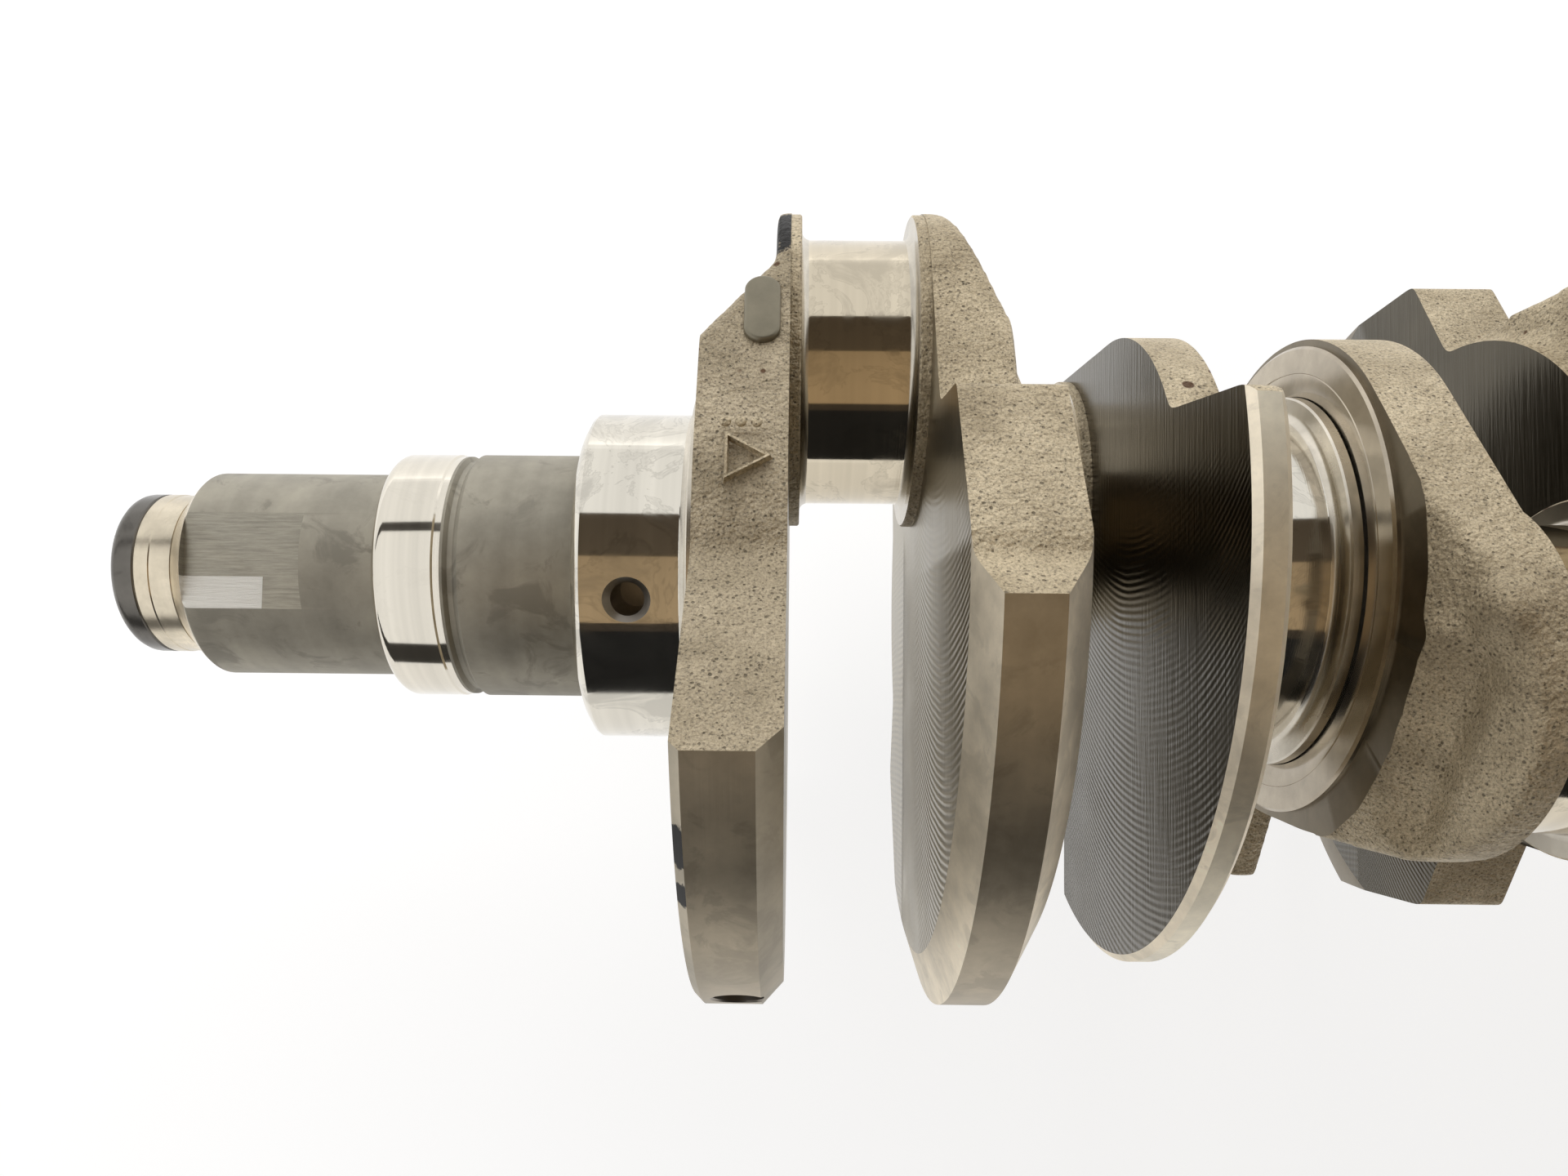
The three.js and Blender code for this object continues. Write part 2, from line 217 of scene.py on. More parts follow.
def buildBlasted():
    # the pitted skin of a shot-blasted forging
    group, entry, leave = newGroup("Blasted skin", {"Grain": 1100.0, "Pits": 820.0, "Pit cover": 0.38},
                                   ["Height", "Pit mask", "Tone", "Rust mask"])
    place = objectPlace(group)
    grain = noiseNode(group, place, entry.outputs["Grain"], 5.0, 0.6)
    lumps = noiseNode(group, place, times(group, entry.outputs["Grain"], 0.25), 3.0)
    cells = addNode(group, "ShaderNodeTexVoronoi", feature="F1")
    feedSockets(group, cells, Vector=place, Scale=entry.outputs["Pits"])
    size = times(group, noiseNode(group, place, 160.0, 3.0), entry.outputs["Pit cover"])
    depth = minus(group, size, cells.outputs["Distance"])
    pit = times(group, depth, 14.0, clamp=True)
    raised = plus(group, grain, times(group, lumps, 1.4))
    feedSockets(group, leave, Height=minus(group, raised, times(group, pit, 0.9)), Pit_mask=pit,
                Tone=noiseNode(group, place, 70.0, 5.0, 0.6))
    # rust sits in a few clusters of small round pits
    spots = addNode(group, "ShaderNodeTexVoronoi", feature="F1")
    feedSockets(group, spots, Vector=place, Scale=260.0)
    cluster = minus(group, noiseNode(group, place, 22.0, 2.0), 0.56, clamp=True)
    inside = minus(group, times(group, cluster, 2.4), spots.outputs["Distance"])
    feedSockets(group, leave, Rust_mask=times(group, inside, 16.0, clamp=True))
    return group


def buildCloudTone():
    # the broad uneven tone of handled steel: what the noise spans, and the tones that it becomes
    group, entry, leave = newGroup("Cloud tone", {
        "Scale": 60.0, "Detail": 6.0, "Roughness": 0.65,
        "Lowest": 0.34, "Highest": 0.66, "Darkest": 0.76, "Lightest": 1.16,
    }, ["Cloud", "Tone"])
    settings = entry.outputs
    place = objectPlace(group)
    cloud = noiseNode(group, place, settings["Scale"], settings["Detail"], settings["Roughness"])
    tone = addNode(group, "ShaderNodeMapRange")
    feedSockets(group, tone, Value=cloud, From_Min=settings["Lowest"], From_Max=settings["Highest"],
                To_Min=settings["Darkest"], To_Max=settings["Lightest"])
    feedSockets(group, leave, Cloud=cloud, Tone=tone.outputs["Result"])
    return group


def buildScalePatch():
    # a ragged patch of black scale round one place
    group, entry, leave = newGroup("Scale patch", {"Centre": (0, 0, 0), "Reach": 0.006}, ["Mask"])
    place = objectPlace(group)
    away = addNode(group, "ShaderNodeVectorMath", operation="DISTANCE")
    group.links.new(place, away.inputs[0])
    group.links.new(entry.outputs["Centre"], away.inputs[1])
    ragged = times(group, noiseNode(group, place, 420.0, 5.0, 0.7), 1.1)
    near = minus(group, 1.0, mathNode(group, "DIVIDE", away.outputs["Value"], entry.outputs["Reach"]))
    edge = minus(group, plus(group, near, ragged), 0.72)
    feedSockets(group, leave, Mask=times(group, edge, 9.0, clamp=True))
    return group


def buildSwirl():
    # a milling cutter's arcs, one after another along +Y, on a face across the shaft
    group, entry, leave = newGroup("Mill swirl", {
        "Cutter radius": 0.062, "Cutter depth": 0.03, "Feed": 0.00125,
    }, ["Height", "Sweep"])
    place = objectPlace(group)
    parts = addNode(group, "ShaderNodeSeparateXYZ")
    group.links.new(place, parts.inputs[0])
    across = minus(group, parts.outputs["Z"], entry.outputs["Cutter depth"])
    reach = entry.outputs["Cutter radius"]
    inside = minus(group, times(group, reach, reach), times(group, across, across))
    bow = mathNode(group, "SQRT", mathNode(group, "MAXIMUM", inside, 0.0))
    wobble = times(group, noiseNode(group, place, 40.0, 2.0), 0.002)
    along = plus(group, plus(group, parts.outputs["Y"], bow), wobble)
    turns = mathNode(group, "DIVIDE", along, entry.outputs["Feed"])
    ridge = mathNode(group, "SINE", times(group, turns, 2 * math.pi))
    faint = times(group, minus(group, noiseNode(group, place, 30.0, 3.0), 0.32), 3.0, clamp=True)
    # the arcs die away above the axis, where the cutter ran out
    below = minus(group, 0.6, times(group, parts.outputs["Y"], 45.0), clamp=True)
    shown = times(group, ridge, times(group, faint, below))
    fine = noiseNode(group, stretched(group, place, (1.0, 0.05, 1.0)), 1300.0, 3.0, 0.6)
    feedSockets(group, leave, Height=plus(group, shown, fine),
                Sweep=times(group, plus(group, shown, 1.0), 0.5))
    return group


grindLines = buildGrindLines()
stains = buildStains()
blasted = buildBlasted()
scalePatch = buildScalePatch()
cloudTone = buildCloudTone()
swirl = buildSwirl()


def addBump(tree, shader, height, strength, distance):
    bump = addNode(tree, "ShaderNodeBump")
    feedSockets(tree, bump, Height=height, Strength=strength, Distance=distance)
    feedSockets(tree, shader, Normal=bump.outputs["Normal"])


def groundSteel(name, color, roughness, stainAmount, density=3500.0):
    material, tree, shader = newMaterial(name, color, roughness)
    lines = useGroup(tree, grindLines, Density=density)
    marks = useGroup(tree, stains, Scale=75.0, Cover=0.53)
    streak = rampNode(tree, lines.outputs["Streak"], [(0.3, 0.86), (0.7, 1.0)])
    toned = mixColor(tree, 1.0, color, streak, "MULTIPLY")
    shade = darker(color, 0.72)
    stained = mixColor(tree, times(tree, marks.outputs["Mask"], stainAmount), toned, shade)
    edge = times(tree, marks.outputs["Outline"], stainAmount * 0.5)
    edged = mixColor(tree, edge, stained, darker(color, 0.55))
    rough = plus(tree, roughness, times(tree, marks.outputs["Mask"], stainAmount * 0.06))
    rough = plus(tree, rough, times(tree, lines.outputs["Streak"], 0.03))
    feedSockets(tree, shader, Base_Color=edged, Roughness=rough)
    addBump(tree, shader, lines.outputs["Height"], 0.10, 0.00004)
    return material


def withPatches(tree, color, patches):
    # patches of black scale, each a place and a reach in metres
    for centre, reach in patches:
        patch = useGroup(tree, scalePatch, Centre=centre, Reach=reach)
        color = mixColor(tree, patch.outputs["Mask"], color, (0.022, 0.021, 0.02))
    return color


def turnedSteel(name, color, roughness, stainAmount, density=2200.0, bump=0.25, metallic=1.0, patches=()):
    material, tree, shader = newMaterial(name, color, roughness, metallic)
    lines = useGroup(tree, grindLines, Density=density)
    marks = useGroup(tree, stains, Scale=110.0, Cover=0.54)
    clouds = useGroup(tree, cloudTone)
    toned = mixColor(tree, 1.0, color, clouds.outputs["Tone"], "MULTIPLY")
    streak = rampNode(tree, lines.outputs["Streak"], [(0.3, 0.90), (0.7, 1.05)])
    lined = mixColor(tree, 1.0, toned, streak, "MULTIPLY")
    stained = mixColor(tree, times(tree, marks.outputs["Mask"], stainAmount), lined, darker(color, 0.66))
    rough = plus(tree, roughness - 0.06, times(tree, clouds.outputs["Cloud"], 0.14))
    feedSockets(tree, shader, Base_Color=withPatches(tree, stained, patches), Roughness=rough)
    addBump(tree, shader, lines.outputs["Height"], bump, 0.00006)
    return material


def forgedSteel(name, color, dark, roughness, patches=()):
    material, tree, shader = newMaterial(name, color, roughness, 0.6)
    skin = useGroup(tree, blasted)
    base = mixColor(tree, rampNode(tree, skin.outputs["Tone"], [(0.40, 0.0), (0.68, 1.0)]), color, dark)
    specks = noiseNode(tree, objectPlace(tree), 2300.0, 6.0, 0.8)
    specks = rampNode(tree, specks, [(0.36, 0.22), (0.45, 0.80), (0.60, 1.16)])
    speckled = mixColor(tree, 1.0, base, specks, "MULTIPLY")
    pitted = mixColor(tree, times(tree, skin.outputs["Pit mask"], 0.65), speckled, darker(dark, 0.22))
    shown = mixColor(tree, skin.outputs["Rust mask"], pitted, (0.11, 0.06, 0.03))
    rough = rampNode(tree, skin.outputs["Tone"], [(0.3, roughness - 0.08), (0.7, roughness + 0.08)])
    feedSockets(tree, shader, Base_Color=withPatches(tree, shown, patches), Roughness=rough)
    addBump(tree, shader, skin.outputs["Height"], 0.8, 0.0006)
    return material


def milledSteel(name, color, depth, roughness, bite):
    material, tree, shader = newMaterial(name, color, roughness)
    arcs = useGroup(tree, swirl, Cutter_depth=depth)
    clouds = useGroup(tree, cloudTone, Scale=55.0, Detail=5.0, Roughness=0.6, Lowest=0.3, Highest=0.7,
                      Darkest=0.82, Lightest=1.08)
    toned = mixColor(tree, 1.0, color, clouds.outputs["Tone"], "MULTIPLY")
    ridges = rampNode(tree, arcs.outputs["Sweep"], [(0.0, 1.0 - 0.6 * bite), (1.0, 1.0 + 0.2 * bite)])
    lined = mixColor(tree, 1.0, toned, ridges, "MULTIPLY")
    rough = plus(tree, roughness - 0.05, times(tree, clouds.outputs["Cloud"], 0.12))
    feedSockets(tree, shader, Base_Color=lined, Roughness=rough)
    addBump(tree, shader, arcs.outputs["Height"], bite, 0.0002)
    return material


finishes = {
    "ground": groundSteel("Ground journal", (0.78, 0.74, 0.65), 0.055, 0.9),
    "pinGround": groundSteel("Ground crankpin", (0.70, 0.62, 0.48), 0.055, 0.8),
    "seal": groundSteel("Polished seal land", (0.80, 0.75, 0.65), 0.07, 0.15),
    "collar": turnedSteel("Journal shoulder", (0.64, 0.59, 0.50), 0.25, 0.15, 2600.0, 0.2),
    "land": turnedSteel("Matte nose land", (0.36, 0.335, 0.275), 0.55, 0.75, 2000.0, 0.3, 0.7),
    "tip": turnedSteel("Blackened nose end", (0.15, 0.14, 0.125), 0.24, 0.7, 2600.0, 0.3),
    "tipWorn": turnedSteel("Worn nose band", (0.72, 0.64, 0.50), 0.24, 0.3, 2600.0, 0.25),
    "forged": forgedSteel("Shot-blasted skin", (0.58, 0.49, 0.34), (0.40, 0.33, 0.22), 0.55),
    "forgedScaled": forgedSteel("Scaled skin of the first web", (0.48, 0.405, 0.285),
                                (0.33, 0.275, 0.185), 0.55,
                                patches=[((0.0252, 0.058, 0.0205), 0.009)]),
    "chamferScaled": turnedSteel("Scaled edge of the first rim", (0.46, 0.41, 0.32), 0.50, 0.4, 1800.0,
                                 0.3, 0.8, patches=[((0.0125, -0.0445, 0.0628), 0.0045),
                                          ((0.0125, -0.0515, 0.0575), 0.0030)]),
    "milled": milledSteel("Milled web face", (0.45, 0.405, 0.315), 0.045, 0.30, 0.60),
    # a darker copy of the milled face: painted shade and painted dark reflection on the inner webs' left
    # faces
    "milledPaintedShade": milledSteel("Milled face with painted shade", (0.105, 0.092, 0.068), 0.028, 0.22, 0.30),
    "rim": turnedSteel("Turned rim", (0.48, 0.415, 0.31), 0.42, 0.45, 1500.0, 0.35, 0.85),
    # a lighter copy of the turned rim, used on the third web's rim
    "rimLight": turnedSteel("Lighter turned rim", (0.90, 0.83, 0.67), 0.46, 0.45, 1500.0, 0.35, 0.8),
    "chamfer": turnedSteel("Turned chamfer", (0.90, 0.81, 0.65), 0.50, 0.4, 1800.0, 0.3, 0.8),
    "thrust": turnedSteel("Thrust face", (0.48, 0.42, 0.33), 0.17, 0.15, 1800.0, 0.2),
    # half the turned rim's colour: painted shade on the fourth web's left face and the fifth web's chamfer
    "turnedShadedSide": turnedSteel("Turned web side in painted shade", (0.24, 0.205, 0.15), 0.36, 0.35, 1500.0, 0.3),
    "pad": turnedSteel("Pressed pad", (0.25, 0.225, 0.165), 0.42, 0.3, 900.0, 0.15, 0.8),
    "bore": turnedSteel("Drilled bore", (0.30, 0.27, 0.23), 0.34, 0.2, 900.0, 0.3),
    "flange": turnedSteel("Turned flange", (0.40, 0.38, 0.34), 0.32, 0.3, 1800.0, 0.3),
    "bronze": turnedSteel("Sintered bronze", (0.42, 0.26, 0.11), 0.42, 0.3, 1200.0, 0.25),
    "dowel": groundSteel("Hard dowel", (0.66, 0.65, 0.62), 0.18, 0.1),
}
print("finishes made:", len(finishes))


def toObject(bm, name, materials=()):
    mesh = bpy.data.meshes.new(name)
    bm.to_mesh(mesh)
    bm.free()
    for key in materials:
        mesh.materials.append(finishes[key])
    thing = bpy.data.objects.new(name, mesh)
    bpy.context.collection.objects.link(thing)
    return thing


def finishPiece(bm, name, materials, node, smoothAngle=28.0):
    # a bmesh in millimetres becomes an object in metres; node is the CAD piece it stands for, if any
    bmesh.ops.scale(bm, vec=(mm, mm, mm), verts=bm.verts)
    piece = toObject(bm, name, materials)
    piece.data.shade_smooth()
    piece.data.set_sharp_from_angle(angle=math.radians(smoothAngle))
    if node:
        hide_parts(node)
    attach(piece, "root")


def spinProfile(profile, steps=turnSteps, materialOf=None):
    # a profile of (radius, station) turned round the shaft's axis
    bm = bmesh.new()
    verts = [bm.verts.new((place, radius, 0)) for radius, place in profile]
    edges = [bm.edges.new(pair) for pair in zip(verts, verts[1:])]
    bmesh.ops.spin(bm, geom=verts + edges, cent=(0, 0, 0), axis=xAxis, angle=2 * math.pi,
                   steps=steps, use_merge=True)
    bmesh.ops.remove_doubles(bm, verts=bm.verts, dist=1e-4)
    bmesh.ops.recalc_face_normals(bm, faces=bm.faces)
    if materialOf:
        for face in bm.faces:
            middle = face.calc_center_median()
            face.material_index = materialOf(middle.x, math.hypot(middle.y, middle.z))
    return bm


def arcProfile(centre, radius, first, last, count=5):
    # points of a fillet: centre as (radius, station), angles in degrees from the radial direction
    points = []
    for step in range(count + 1):
        turn = math.radians(first + (last - first) * step / count)
        points.append((centre[0] + radius * math.cos(turn), centre[1] + radius * math.sin(turn)))
    return points


def evaluated(thing):
    # the mesh with its modifiers applied, as a new bmesh; the helper object goes away
    graph = bpy.context.evaluated_depsgraph_get()
    mesh = bpy.data.meshes.new_from_object(thing.evaluated_get(graph))
    bm = bmesh.new()
    bm.from_mesh(mesh)
    materials = [slot.name for slot in mesh.materials if slot]
    bpy.data.objects.remove(thing)
    return bm, materials


def cutWith(bm, materials, cutter, cutterMaterials, operation):
    # boolean of two bmeshes in millimetres; the new faces keep the cutter's finish
    body = toObject(bm, "body", materials)
    tool = toObject(cutter, "tool", cutterMaterials)
    boolean = body.modifiers.new("cut", "BOOLEAN")
    boolean.operation = operation
    boolean.object = tool
    boolean.solver = "EXACT"
    boolean.material_mode = "TRANSFER"
    result, names = evaluated(body)
    bpy.data.objects.remove(tool)
    byName = {material.name: key for key, material in finishes.items()}
    return result, [byName[name] for name in names]


def turnAbout(bm, degrees):
    # positive from +Y towards +Z
    turn = Matrix.Rotation(math.radians(degrees), 3, "X")
    bmesh.ops.rotate(bm, verts=bm.verts, cent=(0, 0, 0), matrix=turn)


def shift(bm, vec):
    bmesh.ops.translate(bm, verts=bm.verts, vec=vec)


def radialDrill(bore, sink, depth, surface, place, degrees):
    # a drill with a countersink, pointing at the main axis
    profile = [(0, surface - depth), (bore, surface - depth), (bore, surface - (sink - bore)),
               (sink + 2, surface + 2), (0, surface + 2)]
    bm = spinProfile(profile, 40)
    bmesh.ops.rotate(bm, verts=bm.verts, cent=(0, 0, 0), matrix=Matrix.Rotation(math.pi / 2, 3, "Z"))
    turnAbout(bm, degrees)
    shift(bm, (place, 0, 0))
    return bm


nose = {
    "tipRadius": 14.75,
    "bevel": 2.2,
    "grooveAt": 5.2,
    "grooveDepth": 0.35,
    "bandWidth": 2.2,               # the worn band behind the groove
    "bandRise": 0.12,
    "landRadius": 18.75,
    "cone": 4.0,
    "sealRadius": 22.5,
    "sealFillet": 2.2,
    "boltRadius": 6.0,
    "boltDepth": 34,
    "flatHeight": 16.75,
    "flatFrom": -79.5,
    "flatTo": -58.5,
    "flatColor": (0.40, 0.375, 0.31),
    "scrapedTo": (-0.0655, -0.0028),    # the scraped corner lies below these X and Y, in metres
}


def buildNoseTip():
    start, end = station("nose_tip"), station("nose_tip", 1)
    radius, groove = nose["tipRadius"], start + nose["grooveAt"]
    bolt, bevel, band = nose["boltRadius"], nose["bevel"], nose["bandWidth"]
    cut, low = radius - nose["grooveDepth"], radius - nose["bandRise"]
    profile = [
        (bolt, end), (bolt, start + 1.2), (bolt + 1.2, start),
        (radius - bevel, start), *arcProfile((radius - bevel, start + bevel), bevel, -90, 0),
        (radius, groove - 0.7), (cut, groove - 0.45), (cut, groove - 0.15), (radius, groove),
        (radius, groove + band), (low, groove + band + 0.2), (low, end), (bolt, end),
    ]

    def pick(place, away):
        return 1 if place > groove - 0.5 and away > radius / 2 else 0

    bm = spinProfile(profile, turnSteps, pick)
    finishPiece(bm, "noseTip", ["tip", "tipWorn"], "nose_tip")


def buildNoseLand():
    start, end = station("nose_land"), station("nose_land", 1)
    radius, tip, bolt = nose["landRadius"], nose["tipRadius"], nose["boltRadius"]
    boltFoot = station("nose_tip") + nose["boltDepth"]
    coneEnd = start + nose["cone"]
    profile = [
        (0, boltFoot), (bolt, boltFoot - bolt / 2), (bolt, start),
        (tip - 0.2, start), (tip, start + 0.3), (radius - 0.5, coneEnd - 0.3),
        *arcProfile((radius - 0.8, coneEnd + 0.6), 0.8, -45, 0, 3),
        (radius, end - 0.6), (radius - 0.5, end), (0, end),
    ]

    def pick(place, away):
        return 1 if place < coneEnd and away > tip / 2 else 0

    bm = spinProfile(profile, turnSteps, pick)
    cutter = bmesh.new()
    bmesh.ops.create_cube(cutter, size=1)
    size = (nose["flatTo"] - nose["flatFrom"], 2 * radius + 4, 6)
    bmesh.ops.scale(cutter, vec=size, verts=cutter.verts)
    middle = (nose["flatFrom"] + nose["flatTo"]) / 2
    shift(cutter, (middle, 0, nose["flatHeight"] + 3))
    bm, materials = cutWith(bm, ["land", "tipWorn"], cutter, ["noseFlat"], "DIFFERENCE")
    finishPiece(bm, "noseLand", materials, "nose_land")


def scratchedFlat():
    # milled flat with slanting scratches and one freshly scraped corner
    material, tree, shader = newMaterial("Milled nose flat", nose["flatColor"], 0.45, 0.8)
    place = objectPlace(tree)
    turned = addNode(tree, "ShaderNodeMapping")
    feedSockets(tree, turned, Vector=place, Rotation=(0, 0, math.radians(28)), Scale=(1.0, 14.0, 1.0))
    scratches = noiseNode(tree, turned.outputs[0], 170.0, 6.0, 0.75)
    parts = addNode(tree, "ShaderNodeSeparateXYZ")
    tree.links.new(place, parts.inputs[0])
    inLength = mathNode(tree, "LESS_THAN", parts.outputs["X"], nose["scrapedTo"][0])
    inWidth = mathNode(tree, "LESS_THAN", parts.outputs["Y"], nose["scrapedTo"][1])
    corner = times(tree, inLength, inWidth)
    tone = rampNode(tree, scratches, [(0.35, 0.75), (0.65, 1.15)])
    dull = mixColor(tree, 1.0, nose["flatColor"], tone, "MULTIPLY")
    bright = mixColor(tree, corner, dull, (0.86, 0.84, 0.78))
    feedSockets(tree, shader, Base_Color=bright, Roughness=minus(tree, 0.46, times(tree, corner, 0.1)))
    strong = times(tree, scratches, plus(tree, 0.35, times(tree, corner, 1.4)))
    addBump(tree, shader, strong, 0.6, 0.0003)
    return material


finishes["noseFlat"] = scratchedFlat()


def buildSealRing():
    start, end = station("seal_ring"), station("seal_ring", 1)
    radius, fillet = nose["sealRadius"], nose["sealFillet"]
    profile = [
        (0, start), (nose["landRadius"] + 0.2, start),
        *arcProfile((radius - fillet, start + fillet + 0.2), fillet, -75, 0, 6),
        (radius, end - 1.4), (radius - 0.3, end - 1.1), (radius - 0.3, end), (0, end),
    ]
    finishPiece(spinProfile(profile), "sealRing", ["seal"], "seal_ring")


def buildShoulder():
    start, end = station("nose_shoulder"), station("nose_shoulder", 1)
    radius = nose["sealRadius"]
    profile = [
        (0, start), (radius - 0.3, start), (radius - 0.3, start + 0.5), (radius - 1.1, start + 1.1),
        (radius - 1.1, start + 2.0), (radius, start + 3.1), (radius, end - 0.8), (radius - 0.4, end),
        (0, end),
    ]
    finishPiece(spinProfile(profile), "noseShoulder", ["land"], "nose_shoulder")


buildNoseTip()
buildNoseLand()
buildSealRing()
buildShoulder()
print("nose built")

journal = {
    "collarWidth": 1.9,
    "collarRise": 4.0,
    "filletRadius": 1.5,
    # bore, sink and depth of the oil holes, and where they point, in degrees
    "mainOil": (2.8, 4.0, 12.0),
    "mainOilTurns": [105, -135, 15, 165],
    "pinOil": (2.4, 3.6, 10.0),
    "pinOilTurn": -60,
}


def journalProfile(radius, collar, start, end, plainStart=False):
    # ground surface between two collars, with a fillet at each; a plain start has only a bevel
    width, fillet = journal["collarWidth"], journal["filletRadius"]
    shoulder = [(0, 0), (collar, 0), (collar, width - 0.3), (collar - 0.3, width),
                *arcProfile((radius + fillet, width + fillet), fillet, -90, -180, 8)]
    plain = [(0, 0), (radius - 2.2, 0), (radius - 0.4, 1.1), (radius, 1.7)]
    left = [(away, start + run) for away, run in (plain if plainStart else shoulder)]
    return left + [(away, end - run) for away, run in reversed(shoulder)]


def buildMain(node, drillAngle, plainStart=False):
    start, end = station(node), station(node, 1)
    radius = shaft["mainRadius"]
    collar = radius + journal["collarRise"]
    body = spinProfile(journalProfile(radius, collar, start, end, plainStart), turnSteps,
                       lambda place, away: 1 if away > radius + 0.05 else 0)
    middle = 0.0 if plainStart else (start + end) / 2
    drill = radialDrill(*journal["mainOil"], radius, middle, drillAngle)
    body, materials = cutWith(body, ["ground", "collar"], drill, ["bore"], "DIFFERENCE")
    finishPiece(body, node.replace("_journal_", "Journal"), materials, node)


def buildPin(node, phase):
    start, end = station(node), station(node, 1)
    radius = shaft["pinRadius"]
    collar = shaft["bossRadius"]

    def pick(place, away):
        if away > collar - 0.3:
            return 2
        return 1 if away > radius + 0.05 else 0

    body = spinProfile(journalProfile(radius, collar, start, end), turnSteps, pick)
    drill = radialDrill(*journal["pinOil"], radius, (start + end) / 2, journal["pinOilTurn"])
    body, materials = cutWith(body, ["pinGround", "collar", "forged"], drill, ["bore"], "DIFFERENCE")
    shift(body, (0, shaft["throw"], 0))
    turnAbout(body, phase)
    finishPiece(body, node.replace("crankpin_", "crankpin"), materials, node)


for name, angle in zip(mainNames, journal["mainOilTurns"]):
    buildMain(name, angle, plainStart=(name == mainNames[0]))
for name, phase in zip(pinNames, pinPhases):
    buildPin(name, phase)
print("journals built")

forging = {
    "overcut": 3.0,                 # beyond a machined face
    "stock": 2.5,                   # beyond a turned rim
    "bossStock": 0.25,
    "voxel": 1.0,
    "smoothing": 9,
    "rimSteps": 240,                # steps of a full turn on the rims
}


def disc(radius, start, end, segments=96):
    bm = bmesh.new()
    bmesh.ops.create_cone(bm, cap_ends=True, cap_tris=False, segments=segments, radius1=radius,
                          radius2=radius, depth=end - start)
    bmesh.ops.rotate(bm, verts=bm.verts, cent=(0, 0, 0), matrix=Matrix.Rotation(math.pi / 2, 3, "Y"))
    shift(bm, ((start + end) / 2, 0, 0))
    return bm


def cutAway(bm, point, normal):
    # cut away what lies on the normal's side of a plane and close the cut
    cut = bmesh.ops.bisect_plane(bm, geom=bm.verts[:] + bm.edges[:] + bm.faces[:], plane_co=point,
                                 plane_no=normal, clear_outer=True)
    edges = [item for item in cut["geom_cut"] if isinstance(item, bmesh.types.BMEdge)]
    if edges:
        bmesh.ops.holes_fill(bm, edges=edges, sides=0)


def hullPrism(hub, boss, start, end):
    # hub and boss joined by their common tangents
    bm = disc(hub, start, end)
    far = disc(boss, start, end)
    shift(far, (0, shaft["throw"], 0))
    joinInto(bm, far)
    hull = bmesh.ops.convex_hull(bm, input=bm.verts)
    extra = [item for item in hull["geom_interior"] if isinstance(item, bmesh.types.BMVert)]
    bmesh.ops.delete(bm, geom=extra, context="VERTS")
    loose = [face for face in bm.faces if face not in set(hull["geom"])]
    bmesh.ops.delete(bm, geom=loose, context="FACES_ONLY")
    return bm


def joinInto(bm, other):
    mesh = bpy.data.meshes.new("join")
    other.to_mesh(mesh)
    other.free()
    bm.from_mesh(mesh)
    bpy.data.meshes.remove(mesh)


def armBlank(arm, start, end):
    # the slope runs from its foot to its lip; beyond the lip the arm has its full outline
    pieces = []
    hub, boss = arm.get("hub", shaft["hubRadius"]), shaft["bossRadius"] + forging["bossStock"]
    if "foot" in arm:
        foot, lip = Vector(arm["foot"]), Vector(arm["lip"])
        toRight = 1 if lip.x > foot.x else -1
        slope = Vector((-(lip.y - foot.y) * toRight, abs(lip.x - foot.x), 0)).normalized()
        wedge = hullPrism(hub, boss, start, end)
        cutAway(wedge, (foot.x, foot.y, 0), slope)
        pieces.append(wedge)
        lipBody = hullPrism(hub, boss, start, end)
        cutAway(lipBody, (lip.x, 0, 0), (-toRight, 0, 0))
        pieces.append(lipBody)
        if arm.get("capWedge"):
            cutAway(wedge, (0, lip.y, 0), (0, 1, 0))
    else:
        pieces.append(hullPrism(hub, boss, start, end))
    if "cone" in arm:
        # a flank that leans away from its face all round the hub, cut by flat planes
        toRight = 1 if arm["cone"] < (start + end) / 2 else -1
        lean = math.radians(cone["lean"])
        for degrees in range(-80, 81, 16):
            outward = Vector((0, math.cos(math.radians(degrees)), math.sin(math.radians(degrees))))
            foot = Vector((arm["cone"], 0, 0)) + outward * cone["away"]
            normal = outward * math.sin(lean) - xAxis * toRight * math.cos(lean)
            cutAway(pieces[0], foot, normal)
    for piece in pieces:
        turnAbout(piece, arm["pin"])
    return pieces


def weightBlank(weight, start, end):
    # the rim's sector, and the lobe that fills the corner between its flanks and the hub
    plates = [(weight["radius"] + weight.get("stock", forging["stock"]), weight["cuts"])]
    if "lobe" in weight:
        plates.append((weight["lobe"], weight["lobeCuts"]))
    pieces = []
    for radius, cuts in plates:
        body = disc(radius, start, end, 128)
        for side in (-1, 1):
            for angle, reach in cuts:
                turn = math.radians(angle)
                normal = Vector((0, math.cos(turn), side * math.sin(turn)))
                cutAway(body, normal * reach, normal)
        turnAbout(body, weight["middle"])
        pieces.append(body)
    return pieces


def forgedBlank(pieces):
    # overlapping closed shapes become one rounded forging
    whole = bmesh.new()
    for piece in pieces:
        bmesh.ops.triangulate(piece, faces=piece.faces)
        bmesh.ops.recalc_face_normals(piece, faces=piece.faces)
        joinInto(whole, piece)
    blank = toObject(whole, "blank", ["forged"])
    remesh = blank.modifiers.new("skin", "REMESH")
    remesh.mode = "VOXEL"
    remesh.voxel_size = forging["voxel"]
    smooth = blank.modifiers.new("soften", "SMOOTH")
    smooth.factor = 0.6
    smooth.iterations = forging["smoothing"]
    bm, _ = evaluated(blank)
    return bm


